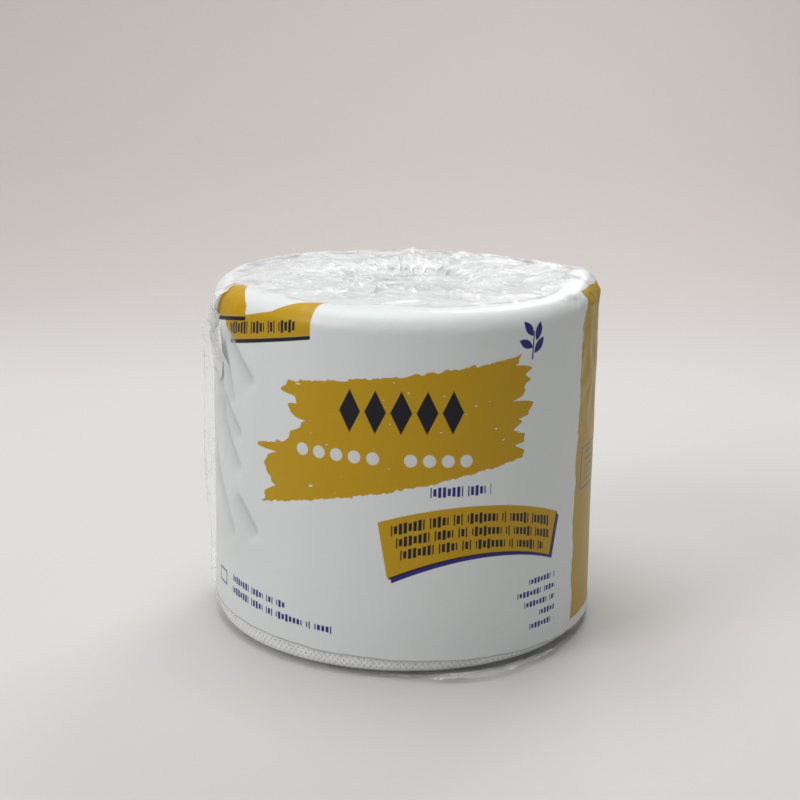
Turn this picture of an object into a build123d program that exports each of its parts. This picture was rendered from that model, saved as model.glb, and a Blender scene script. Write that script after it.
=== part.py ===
from build123d import *
from math import cos, pi, radians, sin
import os

# One roll of toilet paper in its own clear wrapper, standing on end.
# Millimetres, +Z up. The origin is on the roll's axis, at the level of the
# surface that the pack stands on. The front of the pack faces -Y, and its
# left side, with the film's long seal, faces -X.

# The tissue roll
sheet_width = 100.0
roll_diameter = 111.0
roll_top_round = 5.5
roll_bottom_round = 3.0
rim_bands = 3

# The turns of tissue that show on both ends, and the end of the strip
turn_pitch = 4.0
turn_gap = 0.45
turn_gap_depth = 0.9
turn_chord_angle = 15
first_turn_from_core = 2.4
last_turn_from_round = 0.8
tail_gap = 0.6
tail_gap_depth = 0.25
tail_angle = 118.0

# The cardboard core
core_bore = 40.0
core_wall = 0.8
core_seam_lead = 110.0
core_seam_width = 0.8
core_seam_depth = 0.2
core_seam_overrun = 9.0

# The clear film
film_thickness = 0.2
film_side_gap = 0.3
film_end_gap = 0.2
base_layers = 0.5

# Its pleats, which run in over both ends
pleat_count = 30
pleat_unevenness = 0.3
pleat_wander = 2.4
pleat_height = 1.9
pleat_height_spread = 0.5
pleat_half_width = 2.0
pleat_length = 22.0
pleat_length_spread = 5.0
pleat_peak_from_mouth = 4.6
pleat_dip = 0.3
crest_layers = 1.6
base_pleat_depth = 0.3
base_pleat_half_width = 0.8
base_pleat_length = 24.0

# The looser folds that lie aslant over the top pleats, higher at the back
loose_fold_count = 15
loose_fold_start = 15.0
loose_fold_height = 2.1
loose_fold_back_rise = 1.1
loose_fold_half_width = 4.6
loose_fold_peak = 38.5
loose_fold_peak_spread = 5.0
loose_fold_inner = 23.0
loose_fold_outer = 49.0
loose_fold_slant = 3.5

# The tucks, where the gathered film is pushed into the core
tuck_clearance = 0.2
tuck_fold = 3.2
tuck_flare = 3.5
tuck_depth = 14.0
tuck_end_radius = 7.5
tuck_spread = 2.0

# The knot of pressed film that stands in each tuck
knot_points = 7
knot_radius = 4.6
knot_flare = 6.2
knot_fold = 1.6
knot_height = 5.5
knot_root = 0.2

# The long seal of the film, a fin that stands out and leans back. Its root
# swings to the front of the pack at both ends, where the gathers pull it.
fin_thickness = 0.4
fin_root = 0.1
fin_angle = 180.0
fin_top_swing = 24.0
fin_foot_swing = 8.0
fin_swing_power = 8
fin_reach = 4.4
fin_lean = 6.0
fin_end_share = 0.15
fin_stations = 17

# The loose fold of film that lies on the table under the pack's front
fold_reach = 5.4
fold_radius = 38.0
fold_angle = 288.0
fold_thickness = 0.3
fold_overlap = 2.0

# Worked out from the sizes above
roll_radius = roll_diameter / 2
core_radius = core_bore / 2 + core_wall
roll_bottom = base_layers + film_end_gap
roll_top = roll_bottom + sheet_width
film_radius = roll_radius + film_side_gap + film_thickness
film_top = roll_top + film_end_gap + film_thickness
film_round = film_radius - roll_radius
mouth_radius = core_bore / 2 - tuck_clearance - tuck_spread * film_thickness
crest_radius = mouth_radius - tuck_fold
peak_radius = mouth_radius + pleat_peak_from_mouth

os.makedirs("parts", exist_ok=True)


# Cardboard core: a tube wound from strips, whose edges meet in a spiral seam
with BuildPart() as core_tube:
    with BuildSketch(Plane.XY.offset(roll_bottom)):
        Circle(core_radius)
        Circle(core_bore / 2, mode=Mode.SUBTRACT)
    extrude(amount=sheet_width)
    with BuildLine():
        seam = Helix(
            core_seam_lead,
            sheet_width + 2 * core_seam_overrun,
            core_bore / 2,
            center=(0, 0, roll_bottom - core_seam_overrun),
        )
    with BuildSketch(Plane(origin=seam @ 0, x_dir=(1, 0, 0), z_dir=seam % 0)):
        Rectangle(2 * core_seam_depth, core_seam_width)
    sweep(is_frenet=True, mode=Mode.SUBTRACT)


def side_profile(radius, low, high, low_round, high_round):
    """Half of a drum's section, its rims rounded in a few straight bands."""
    band_angles = [radians(90 * band / rim_bands) for band in range(rim_bands + 1)]
    corners = [(0, low)]
    for angle in band_angles:
        corners.append((radius - low_round * (1 - sin(angle)), low + low_round * (1 - cos(angle))))
    for angle in band_angles:
        corners.append((radius - high_round * (1 - cos(angle)), high - high_round * (1 - sin(angle))))
    corners.append((0, high))
    Polyline(*corners, close=True)


# Tissue roll: one long strip wound on the core and glued to it. Its turns
# show on both ends as one spiral, which grows by a pitch in each turn.
def turn_line(outer_limit):
    """The line between the turns, from near the core out to a limit."""
    start = core_radius + first_turn_from_core
    steps = int((outer_limit - start) / turn_pitch * 360 / turn_chord_angle)
    points = []
    for step in range(steps + 1):
        angle = step * turn_chord_angle
        radius = start + turn_pitch * angle / 360
        points.append((radius * cos(radians(angle)), radius * sin(radians(angle))))
    Polyline(*points)


with BuildPart() as tissue_roll:
    with BuildSketch(Plane.XZ):
        with BuildLine():
            side_profile(roll_radius, roll_bottom, roll_top, roll_bottom_round, roll_top_round)
        make_face()
    revolve(axis=Axis.Z)
    with BuildSketch(Plane.XY.offset(roll_bottom)):
        Circle(core_radius)
    extrude(amount=sheet_width, mode=Mode.SUBTRACT)
    with BuildSketch(Plane.XY.offset(roll_top)):
        with BuildLine():
            turn_line(roll_radius - roll_top_round - last_turn_from_round)
        trace(line_width=turn_gap)
    extrude(amount=-turn_gap_depth, mode=Mode.SUBTRACT)
    with BuildSketch(Plane.XY.offset(roll_bottom)):
        with BuildLine():
            turn_line(roll_radius - roll_bottom_round - last_turn_from_round)
        trace(line_width=turn_gap)
    extrude(amount=turn_gap_depth, mode=Mode.SUBTRACT)
    with BuildSketch(Plane.XY.offset(roll_bottom)):
        with PolarLocations(roll_radius, 1, start_angle=tail_angle):
            Rectangle(2 * tail_gap_depth, tail_gap)
    extrude(amount=sheet_width, mode=Mode.SUBTRACT)


# Clear wrapper: a sleeve of film, sealed along one side, whose two ends are
# gathered in pleats over the roll's ends and tucked into the core. The film
# is the pack's outer form less the space inside it, so both have one shape.
def crest_angle(number):
    """The angle of a pleat's crest. The pleats are a little uneven."""
    return 360 / pleat_count * (number + pleat_unevenness * sin(pleat_wander * number))


def star(angles, valley, crest):
    """An outline with a crest at each angle and a valley midway to the next."""
    points = []
    for here, following in zip(angles, angles[1:] + [angles[0] + 360]):
        for radius, angle in ((crest, here), (valley, (here + following) / 2)):
            points.append((radius * cos(radians(angle)), radius * sin(radians(angle))))
    return points


def tuck(mouth, inward, inset):
    """The hollow of one tuck, a pleated funnel with a flat end."""
    valley = mouth_radius + tuck_spread * inset
    apex_depth = tuck_depth * valley / (mouth_radius - tuck_end_radius)
    widening = 1 + tuck_flare / apex_depth
    angles = [crest_angle(number) for number in range(pleat_count)]
    outline = star(angles, widening * valley, widening * valley * crest_radius / mouth_radius)
    with BuildPart() as hollow:
        with BuildSketch(Plane.XY.offset(mouth - inward * tuck_flare)) as wide_end:
            Polygon(*outline, align=None)
        loft([wide_end.sketch, Vertex(0, 0, mouth + inward * apex_depth)], ruled=True)
        end_plane = Plane(origin=(0, 0, mouth + inward * (tuck_depth + inset)), z_dir=(0, 0, inward))
        split(bisect_by=end_plane, keep=Keep.BOTTOM)
    return hollow.part


def top_pleat(number, inset):
    """One fold of film on the top, from a point near the rim to the tuck."""
    height = pleat_height + pleat_height_spread * cos(pleat_wander * number)
    length = pleat_length + pleat_length_spread * cos(2 * pleat_wander * number)
    flat = film_top - inset
    crest = flat + height - (crest_layers - 1) * inset
    with BuildPart() as fold:
        with BuildSketch(Plane.YZ.offset(peak_radius)) as section:
            Polygon((-pleat_half_width, flat), (pleat_half_width, flat), (0, crest), align=None)
        inner_end = Vertex(crest_radius - pleat_dip, 0, flat - pleat_dip)
        outer_end = Vertex(peak_radius + length, 0, flat)
        loft([inner_end, section.sketch, outer_end], ruled=True)
    return fold.part.rotate(Axis.Z, crest_angle(number))


def loose_fold(number, inset):
    """One looser fold on the top. Its inner end slants across the pleats."""
    angle = loose_fold_start + 360 / loose_fold_count * number
    height = loose_fold_height + loose_fold_back_rise * sin(radians(angle))
    peak = loose_fold_peak + loose_fold_peak_spread * cos(pleat_wander * number)
    flat = film_top - inset
    with BuildPart() as fold:
        with BuildSketch(Plane.YZ.offset(peak)) as section:
            Polygon(
                (-loose_fold_half_width, flat),
                (loose_fold_half_width, flat),
                (0, flat + height),
                align=None,
            )
        inner_end = Vertex(loose_fold_inner, loose_fold_slant, flat)
        outer_end = Vertex(loose_fold_outer, 0, flat)
        loft([inner_end, section.sketch, outer_end], ruled=True)
    return fold.part.rotate(Axis.Z, angle)


def base_pleat(number):
    """The hollow between two flattened folds under the pack."""
    with BuildPart() as groove:
        with BuildSketch(Plane.YZ.offset(crest_radius)) as section:
            Polygon(
                (-base_pleat_half_width, 0),
                (base_pleat_half_width, 0),
                (0, base_pleat_depth),
                align=None,
            )
        loft([section.sketch, Vertex(crest_radius + base_pleat_length, 0, 0)], ruled=True)
    return groove.part.rotate(Axis.Z, crest_angle(number))


def pack_form(inset, floor):
    """The pack as one closed form, or with an inset the space inside its film."""
    radius = film_radius - inset
    flat = film_top - inset
    with BuildPart() as form:
        with BuildSketch(Plane.XZ):
            with BuildLine():
                side_profile(
                    radius,
                    floor,
                    flat,
                    roll_bottom_round + film_round - inset,
                    roll_top_round + film_round - inset,
                )
            make_face()
        revolve(axis=Axis.Z)
        add([top_pleat(number, inset) for number in range(pleat_count)])
        add([loose_fold(number, inset) for number in range(loose_fold_count)])
        add(tuck(flat, -1, inset), mode=Mode.SUBTRACT)
        add(tuck(floor, 1, inset), mode=Mode.SUBTRACT)
    return form.part


def knot(mouth, inward):
    """The pressed end of the film, a bunch of folds that stands in a tuck."""
    angles = [360 / knot_points * number for number in range(knot_points)]
    with BuildPart() as bunch:
        with BuildSketch(Plane.XY.offset(mouth + inward * (tuck_depth + knot_root))):
            Polygon(*star(angles, knot_radius - knot_fold, knot_radius), align=None)
        with BuildSketch(Plane.XY.offset(mouth + inward * (tuck_depth - knot_height))):
            Polygon(*star(angles, knot_flare - knot_fold, knot_flare), align=None)
        loft(ruled=True)
    return bunch.part


def fin_plane(along):
    """A level plane across the fin, at a share of the pack's straight side."""
    lowest = roll_bottom_round + film_round
    highest = film_top - roll_top_round - film_round
    return Plane.XY.offset(lowest + along * (highest - lowest))


pack_outside = pack_form(0.0, 0.0)
pack_inside = pack_form(film_thickness, base_layers)
with BuildPart() as film_wrap:
    add(pack_outside)
    add(pack_inside, mode=Mode.SUBTRACT)
    add([base_pleat(number) for number in range(pleat_count)], mode=Mode.SUBTRACT)
    add(knot(film_top, -1))
    add(knot(0.0, 1))
    for along in [station / (fin_stations - 1) for station in range(fin_stations)]:
        swing = fin_top_swing * along**fin_swing_power + fin_foot_swing * (1 - along) ** fin_swing_power
        share = max(fin_end_share, sin(pi * along)) ** 0.5
        with BuildSketch(fin_plane(along).rotated((0, 0, fin_angle + swing))):
            Polygon(
                (film_radius - fin_root, fin_thickness / 2),
                (film_radius - fin_root, -fin_thickness / 2),
                (film_radius + fin_reach * share, -fin_lean * share - fin_thickness / 2),
                (film_radius + fin_reach * share, -fin_lean * share + fin_thickness / 2),
                align=None,
            )
    loft(ruled=True)
    with BuildSketch(Plane.XY):
        with PolarLocations(film_radius + fold_reach - fold_radius, 1, start_angle=fold_angle):
            Circle(fold_radius)
        Circle(film_radius - roll_bottom_round - film_round - fold_overlap, mode=Mode.SUBTRACT)
    extrude(amount=fold_thickness)

core_tube.part.label = "core_tube"
export_step(core_tube.part, "parts/core_tube.step")
tissue_roll.part.label = "tissue_roll"
export_step(tissue_roll.part, "parts/tissue_roll.step")
film_wrap.part.label = "film_wrap"
export_step(film_wrap.part, "parts/film_wrap.step")
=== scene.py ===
# %% [markdown]
# A toilet paper roll in its own wrapper
# This lesson dresses one wrapped toilet paper roll. The roll, its card core
# and the clear film are already there as plain solids of the right size. Here
# they get what the eye looks for: crinkled film, a printed side, soft tissue.

# %% Load the solids
from collections import namedtuple
from itertools import product
from math import cos, pi, radians, sin

import bmesh
import bpy
import numpy as np
from mathutils import Matrix, Vector


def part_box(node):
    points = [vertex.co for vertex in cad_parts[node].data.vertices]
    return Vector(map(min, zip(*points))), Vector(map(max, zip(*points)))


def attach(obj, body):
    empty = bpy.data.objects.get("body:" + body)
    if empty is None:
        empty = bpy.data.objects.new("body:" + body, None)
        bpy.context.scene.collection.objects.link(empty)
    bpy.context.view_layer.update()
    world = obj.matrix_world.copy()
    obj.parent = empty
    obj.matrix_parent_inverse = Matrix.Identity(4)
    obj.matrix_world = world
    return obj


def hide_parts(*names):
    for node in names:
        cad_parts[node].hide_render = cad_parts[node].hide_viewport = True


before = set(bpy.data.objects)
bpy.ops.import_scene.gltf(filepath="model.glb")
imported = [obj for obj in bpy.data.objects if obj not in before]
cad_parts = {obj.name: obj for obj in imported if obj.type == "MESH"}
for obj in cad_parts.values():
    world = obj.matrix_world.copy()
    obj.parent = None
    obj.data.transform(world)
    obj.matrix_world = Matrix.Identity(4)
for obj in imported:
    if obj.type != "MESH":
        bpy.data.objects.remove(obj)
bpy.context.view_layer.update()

# %% [markdown]
# Sizes that come from the solids
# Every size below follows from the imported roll, so a larger roll would get a
# larger wrapper. Lengths are in millimetres here, and become metres when a
# mesh is written. The front of the pack faces -Y. Angles are counted from the
# front towards +X, so seen from the front they run to the right.

# %% Take the sizes of the roll and work out those of its wrapper
MM = 0.001
roll_low, roll_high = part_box("tissue_roll")
core_low, core_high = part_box("core_tube")
ROLL_RADIUS = (roll_high.y - roll_low.y) / 2 / MM
ROLL_FOOT = roll_low.z / MM
ROLL_HEAD = roll_high.z / MM
CORE_RADIUS = (core_high.y - core_low.y) / 2 / MM
FILM_OFF_SIDE = 0.5
FILM_OFF_TOP = 0.4
FILM_RADIUS = ROLL_RADIUS + FILM_OFF_SIDE
FILM_TOP = ROLL_HEAD + FILM_OFF_TOP
SHOULDER = 6.0
FOOT_ROUND = 3.5
SIDE_TOP = FILM_TOP - SHOULDER
RIM_RADIUS = FILM_RADIUS - SHOULDER
RIM_ALONG = SIDE_TOP + SHOULDER * pi / 2
MOUTH_RADIUS = 19.4
TUCK_DEPTH = 12.5
KNOT_RISE = 3.5
print("film radius", round(FILM_RADIUS, 2), "mm, film top", round(FILM_TOP, 2), "mm")

# %% [markdown]
# The camera
# The picture was taken from a little above the pack, almost straight on, with
# a long lens. The camera stands where the pack's outline and the heights of
# its print put it, and leans a degree to the side as the picture does.

# %% Set the camera
CAMERA_PLACE = Vector((-1.2, -434.4, 175.8)) * MM
CAMERA_PITCH = radians(14.43)
CAMERA_ROLL = radians(1.065)
LENS = 67.5
PICTURE_WIDTH = 36.0
camera_data = bpy.data.cameras.new("view_camera")
camera_data.sensor_width = PICTURE_WIDTH
camera_data.lens = LENS
camera_data.clip_start = 0.01
camera = bpy.data.objects.new("view_camera", camera_data)
bpy.context.scene.collection.objects.link(camera)
bpy.context.scene.camera = camera
camera.matrix_world = (
    Matrix.Translation(CAMERA_PLACE)
    @ Matrix.Rotation(pi / 2 - CAMERA_PITCH, 4, "X")
    @ Matrix.Rotation(CAMERA_ROLL, 4, "Z")
)
print("camera at", [round(part / MM, 1) for part in CAMERA_PLACE], "mm")

# %% [markdown]
# Helpers for materials
# A material is a graph of nodes. It could be wired by hand, node by node, but
# then the recipe drowns in links. These helpers add a node, set its inputs and
# link what is linked, so that each recipe below reads as a short list.


# %% Define the node helpers
def add_node(tree, kind, inputs=None, **settings):
    """Adds a node, sets its options, and then sets or links its inputs."""
    made = tree.nodes.new(kind)
    for name, value in settings.items():
        setattr(made, name, value)
    for key, value in (inputs or {}).items():
        if isinstance(value, bpy.types.NodeSocket):
            tree.links.new(value, made.inputs[key])
        else:
            made.inputs[key].default_value = value
    return made


def calc(tree, operation, first, second=0.0, third=0.0):
    """One Math node's result."""
    inputs = {0: first, 1: second, 2: third}
    return add_node(tree, "ShaderNodeMath", inputs, operation=operation).outputs[0]


def blend_colours(tree, share, first, second):
    """The first colour where share is 0, and the second where it is 1."""
    inputs = {0: share, 6: first, 7: second}
    return add_node(tree, "ShaderNodeMix", inputs, data_type="RGBA").outputs[2]


def scaled(tree, vector, factors):
    """A place multiplied by a factor along each axis."""
    inputs = {0: vector, 1: factors}
    return add_node(tree, "ShaderNodeVectorMath", inputs, operation="MULTIPLY").outputs[0]


def grain(tree, vector, scale, detail=3.0):
    """Noise between 0 and 1."""
    inputs = {"Vector": vector, "Scale": scale, "Detail": detail}
    return add_node(tree, "ShaderNodeTexNoise", inputs).outputs[0]


def steps(tree, value, low, high):
    """0 below low, 1 above high, straight between. It falls if low is above high."""
    inputs = {"Value": value, "From Min": low, "From Max": high}
    return add_node(tree, "ShaderNodeMapRange", inputs).outputs[0]


print("one node for each:", [part.__name__ for part in (calc, blend_colours, scaled, grain, steps)])


# %% Define the helpers for groups and whole materials
def new_group(name, inputs, outputs):
    """A shader node group with named inputs and outputs, and its two end nodes."""
    tree = bpy.data.node_groups.new(name, "ShaderNodeTree")
    for socket, kind, value in inputs:
        made = tree.interface.new_socket(socket, in_out="INPUT", socket_type=kind)
        if value is not None:
            made.default_value = value
    for socket, kind in outputs:
        tree.interface.new_socket(socket, in_out="OUTPUT", socket_type=kind)
    start = tree.nodes.new("NodeGroupInput").outputs
    return tree, start, tree.nodes.new("NodeGroupOutput").inputs


def use_group(tree, group, inputs):
    """Places a group in a material and fills its inputs."""
    return add_node(tree, "ShaderNodeGroup", inputs, node_tree=group)


def object_place(tree):
    """The place on the object, in millimetres."""
    place = add_node(tree, "ShaderNodeTexCoord").outputs["Object"]
    return scaled(tree, place, (1 / MM, 1 / MM, 1 / MM))


def new_material(name):
    """An empty material, its tree and its main shader."""
    material = bpy.data.materials.new(name)
    material.use_nodes = True
    return material, material.node_tree, material.node_tree.nodes["Principled BSDF"]


def dent(tree, shader, relief, depth, strength=1.0):
    """Dents the surface by a relief, to a depth in millimetres."""
    inputs = {"Height": relief, "Strength": strength, "Distance": depth * MM}
    tree.links.new(add_node(tree, "ShaderNodeBump", inputs).outputs[0], shader.inputs["Normal"])


print("groups so far:", len(bpy.data.node_groups))

# %% [markdown]
# Soft light on a pale floor
# Hard light would burn out the white film, so every lamp is a soft square. A
# big one above gives the bright top. A smaller one behind makes the film
# glint, because its creases mirror what lies behind the pack. One at the front
# left gives the side its slow fall from light to shade. The room's own light
# fills the shadows. The floor curves up into a backdrop, so that no line
# crosses the picture.


# %% Hang the lamps and light the room
def soft_lamp(name, place, target, size, power):
    """A square soft lamp at a place, turned towards a target."""
    data = bpy.data.lights.new(name, "AREA")
    data.shape = "SQUARE"
    data.size = size
    data.energy = power
    lamp = bpy.data.objects.new(name, data)
    bpy.context.scene.collection.objects.link(lamp)
    lamp.location = place
    lamp.rotation_mode = "QUATERNION"
    lamp.rotation_quaternion = (Vector(target) - Vector(place)).to_track_quat("-Z", "Y")


soft_lamp("lamp_above", (-0.15, 0.10, 1.10), target=(0, 0, 0.06), size=0.8, power=8.5)
soft_lamp("lamp_behind", (0.22, 0.62, 0.62), target=(0, 0, 0.09), size=0.30, power=2.2)
soft_lamp("lamp_front", (-0.95, -0.65, 0.80), target=(0, 0, 0.05), size=0.5, power=6.2)

ROOM_COLOUR = (0.62, 0.62, 0.61, 1.0)
ROOM_STRENGTH = 0.63
world = bpy.data.worlds.new("room")
bpy.context.scene.world = world
world.use_nodes = True
world.node_tree.nodes["Background"].inputs["Color"].default_value = ROOM_COLOUR
world.node_tree.nodes["Background"].inputs["Strength"].default_value = ROOM_STRENGTH
bpy.context.scene.view_settings.view_transform = "Standard"
print("lamps:", [(lamp.name, lamp.energy) for lamp in bpy.data.lights])


# %% Bend the floor up into a backdrop
def piece_from(bm, name):
    """Makes a smooth object of a bmesh and frees it."""
    for face in bm.faces:
        face.smooth = True
    data = bpy.data.meshes.new(name)
    bm.to_mesh(data)
    bm.free()
    made = bpy.data.objects.new(name, data)
    bpy.context.scene.collection.objects.link(made)
    return made


# These are in metres, like the lamps' places.
FLOOR_FRONT = -6.0
FLOOR_BACK = 0.42
FLOOR_HALF = 4.0
BACKDROP_BEND = 0.38
BACKDROP_TOP = 1.6
BEND_STEPS = 16

bm = bmesh.new()
line = [bm.verts.new((-FLOOR_HALF, depth, 0)) for depth in (FLOOR_FRONT, FLOOR_BACK)]
for bend in np.linspace(0, pi / 2, BEND_STEPS + 1)[1:]:
    depth = FLOOR_BACK + BACKDROP_BEND * sin(bend)
    line.append(bm.verts.new((-FLOOR_HALF, depth, BACKDROP_BEND * (1 - cos(bend)))))
line.append(bm.verts.new((-FLOOR_HALF, FLOOR_BACK + BACKDROP_BEND, BACKDROP_TOP)))
edges = [bm.edges.new(pair) for pair in zip(line, line[1:])]
drawn = bmesh.ops.extrude_edge_only(bm, edges=edges)
far_side = [part for part in drawn["geom"] if isinstance(part, bmesh.types.BMVert)]
bmesh.ops.translate(bm, vec=(2 * FLOOR_HALF, 0, 0), verts=far_side)
bmesh.ops.recalc_face_normals(bm, faces=bm.faces)
floor = piece_from(bm, "floor")
print("floor faces:", len(floor.data.polygons))


# %% Paint the floor and the backdrop
def floor_paint():
    """Matt and pale, a little cloudy, and warmer up the backdrop."""
    material, tree, shader = new_material("pale_floor")
    place = add_node(tree, "ShaderNodeTexCoord").outputs["Object"]
    cloudy = grain(tree, place, 3.0)
    ground = blend_colours(tree, cloudy, (0.52, 0.51, 0.50, 1.0), (0.56, 0.55, 0.54, 1.0))
    depth = add_node(tree, "ShaderNodeSeparateXYZ", {0: place}).outputs["Y"]
    back = steps(tree, depth, 0.25, 0.65)
    colour = blend_colours(tree, back, ground, (0.44, 0.405, 0.39, 1.0))
    tree.links.new(colour, shader.inputs["Base Color"])
    shader.inputs["Roughness"].default_value = 0.9
    return material


floor.data.materials.append(floor_paint())
print("floor material:", floor.data.materials[0].name)

# %% [markdown]
# Helpers for creases
# Film is a thin skin, so its shape is all in its folds. A crease is where two
# flat bits of film meet. Plain noise would give soft dents like dough. The
# borders between the cells of a random pattern look right: each side of a
# border is flat, and the border is sharp. Laid round a circle, the pattern
# closes on itself without a seam.

# %% Define the crease patterns
SCATTER_MIX = np.array([[12.99, 39.35, 73.16], [78.23, 11.14, 52.24], [37.72, 83.16, 9.15]])
SCATTER_STEP = 1.37
SCATTER_SPREAD = 43758.55
CREASE_STEEPNESS = 1.6
FAR_AWAY = 9.0


def scatter(cells, seed):
    """Three fixed random numbers between 0 and 1 for each cell of a grid."""
    mixed = np.sin(cells @ SCATTER_MIX + seed * SCATTER_STEP)
    return np.modf(np.abs(mixed * SCATTER_SPREAD))[0]


def creases(places, seed):
    """1 on the borders of random cells, falling straight to 0 inside them."""
    cells = np.floor(places)
    nearest = np.full(len(places), FAR_AWAY)
    second = np.full(len(places), FAR_AWAY)
    for shift in product((-1, 0, 1), repeat=3):
        corner = cells + shift
        gap = np.linalg.norm(corner + scatter(corner, seed) - places, axis=1)
        second = np.minimum(second, np.maximum(nearest, gap))
        nearest = np.minimum(nearest, gap)
    return np.clip(1 - CREASE_STEEPNESS * (second - nearest), 0, 1)


sample = creases(np.linspace((0, 0, 0), (50, 9, 0), 1000), 1)
print("share of a line that lies on a crease:", round(float((sample > 0.5).mean()), 2))


# %% Define smooth waves and places for the patterns
def waves(places, seed):
    """Smooth noise between -1 and 1."""
    cells = np.floor(places)
    share = places - cells
    share = share * share * (3 - 2 * share)
    total = np.zeros(len(places))
    for shift in product((0, 1), repeat=3):
        weight = np.prod(np.where(np.array(shift) == 1, share, 1 - share), axis=1)
        total += weight * scatter(cells + shift, seed)[:, 0]
    return 2 * total - 1


def round_the_pack(angle, along, folds, length):
    """Places in a pattern that has so many cells round the pack, each so long."""
    ring = folds / (2 * pi)
    return np.column_stack([ring * np.cos(angle), ring * np.sin(angle), along / length])


def one_way(values):
    """Places in a pattern that changes along one line only."""
    return np.column_stack([values, values * 0, values * 0])


sample = waves(one_way(np.linspace(0, 50, 1000)), 1)
print("waves run from", sample.min().round(2), "to", sample.max().round(2))


# %% Define the single folds
def ease(values, low, high):
    """0 below low, 1 above high, smooth between. It falls if low is above high."""
    share = np.clip((np.asarray(values, dtype=float) - low) / (high - low), 0, 1)
    return share * share * (3 - 2 * share)


def bell(values, middle, width):
    """1 in the middle and near 0 beyond the width, on both sides."""
    return np.exp(-(((values - middle) / width) ** 2))


def ridge(points, turned, inner, peak, outer, half_width, tall, slant):
    """One fold on an end: it rises from its inner end to a peak and runs out again."""
    out = points[:, 0] * cos(turned) + points[:, 1] * sin(turned)
    side = points[:, 1] * cos(turned) - points[:, 0] * sin(turned)
    rise = np.minimum((out - inner) / (peak - inner), (outer - out) / (outer - peak))
    side = side - slant * np.clip((peak - out) / (peak - inner), 0, 1)
    return tall * np.clip(np.clip(rise, 0, 1) - np.abs(side) / half_width, 0, 1)


def along_line(across, up, line):
    """The share of a line that each place has passed, and its distance beside it."""
    x0, y0, x1, y1 = line
    length = np.hypot(x1 - x0, y1 - y0)
    share = ((across - x0) * (x1 - x0) + (up - y0) * (y1 - y0)) / length**2
    beside = ((across - x0) * (y1 - y0) - (up - y0) * (x1 - x0)) / length
    return share, beside


def soft_fold(across, up, line, width, tall):
    """A soft fold along a line, which fades out at both ends."""
    share, beside = along_line(across, up, line)
    return tall * np.exp(-((beside / width) ** 2)) * np.sqrt(np.clip(4 * share * (1 - share), 0, 1))


def pulled_fold(across, up, line, steep=1.1, slow=3.0):
    """Film pulled along a line: a short steep step down to it, and a slow rise below it."""
    share, beside = along_line(across, up, line)
    dip = np.where(beside < 0, np.exp(-((beside / steep) ** 2)), np.exp(-np.abs(beside) / slow))
    taper = 5 * share * (1.2 - share) * (share > 0) * (share < 1) * ease(share, 1, 0.8)
    return dip * np.sqrt(np.clip(taper, 0, 1))


print("a pulled fold is", round(float(pulled_fold(0.5, 0.0, (0, 0, 1, 0))), 2), "deep halfway")


# %% [markdown]
# Helpers for meshes
# Every sheet of film here begins as a flat grid, which has its faces already.
# Drawing the faces one by one would be slow and easy to get wrong. The helpers
# read and write all the points at once, roll a grid round the axis, join it
# where it meets itself, and give a thin sheet its wall. The last one hands a
# finished piece over with its material, and hides the solid that it stands for.


# %% Read and write the points of a piece
def points_of(piece):
    """The piece's points in millimetres, one row each."""
    flat = np.empty(3 * len(piece.data.vertices))
    piece.data.vertices.foreach_get("co", flat)
    return flat.reshape(-1, 3) / MM


def move_points(piece, points):
    """Writes the points back in metres and updates the mesh."""
    piece.data.vertices.foreach_set("co", (points * MM).ravel())
    piece.data.update()


def ring_points(angle, radius, height):
    """Points at an angle from the front, a radius and a height."""
    return np.column_stack([radius * np.sin(angle), -radius * np.cos(angle), height])


front = ring_points(np.zeros(1), np.ones(1), np.zeros(1))
print("one millimetre to the front:", front.round(1).tolist())


# %% Define grids, flat and rolled
def grid_piece(name, across_steps, up_steps):
    """A square grid, and the share across and up of each of its points."""
    bm = bmesh.new()
    bmesh.ops.create_grid(bm, x_segments=across_steps, y_segments=up_steps, size=0.5)
    made = piece_from(bm, name)
    shares = points_of(made) * MM + 0.5
    return made, shares[:, 0], shares[:, 1]


def rolled_piece(name, steps_round, section):
    """A grid rolled round the axis, each row at one radius, height and length of the section.

    Its map holds millimetres: across round the side, and up along the section.
    """
    made, share_round, share_down = grid_piece(name, steps_round, len(section) - 1)
    angle = (share_round - 0.5) * 2 * pi
    row = share_down * (len(section) - 1)
    columns = zip(*section)
    radius, height, length = (np.interp(row, range(len(section)), column) for column in columns)
    corners = np.empty(len(made.data.loops), dtype=np.int32)
    made.data.loops.foreach_get("vertex_index", corners)
    places = np.column_stack([angle * FILM_RADIUS, length])
    made.data.uv_layers.new(name="print_mm").data.foreach_set("uv", places[corners].ravel())
    return made, angle, radius, height


print("grids:", [maker.__name__ for maker in (grid_piece, rolled_piece)])


# %% Define how pieces are closed, thickened and dressed
def close_piece(piece):
    """Joins the points that meet, at the back and in the middle, and turns the faces outward."""
    bm = bmesh.new()
    bm.from_mesh(piece.data)
    bmesh.ops.remove_doubles(bm, verts=bm.verts, dist=2e-6)
    bmesh.ops.recalc_face_normals(bm, faces=bm.faces)
    bm.to_mesh(piece.data)
    bm.free()


def thicken(piece, thickness):
    """Gives a sheet its thickness."""
    wall = piece.modifiers.new("wall", "SOLIDIFY")
    wall.thickness = thickness * MM
    wall.offset = 0.0


def dress(piece, material, slot, *nodes):
    """Gives a piece its material, hides the solids it stands for, and lets it ride. Its slot is not
    used.
    """
    piece.data.materials.append(material)
    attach(piece, "root")
    if nodes:
        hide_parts(*nodes)
    print(piece.name, len(piece.data.vertices), "points", len(piece.data.polygons), "faces")


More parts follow.
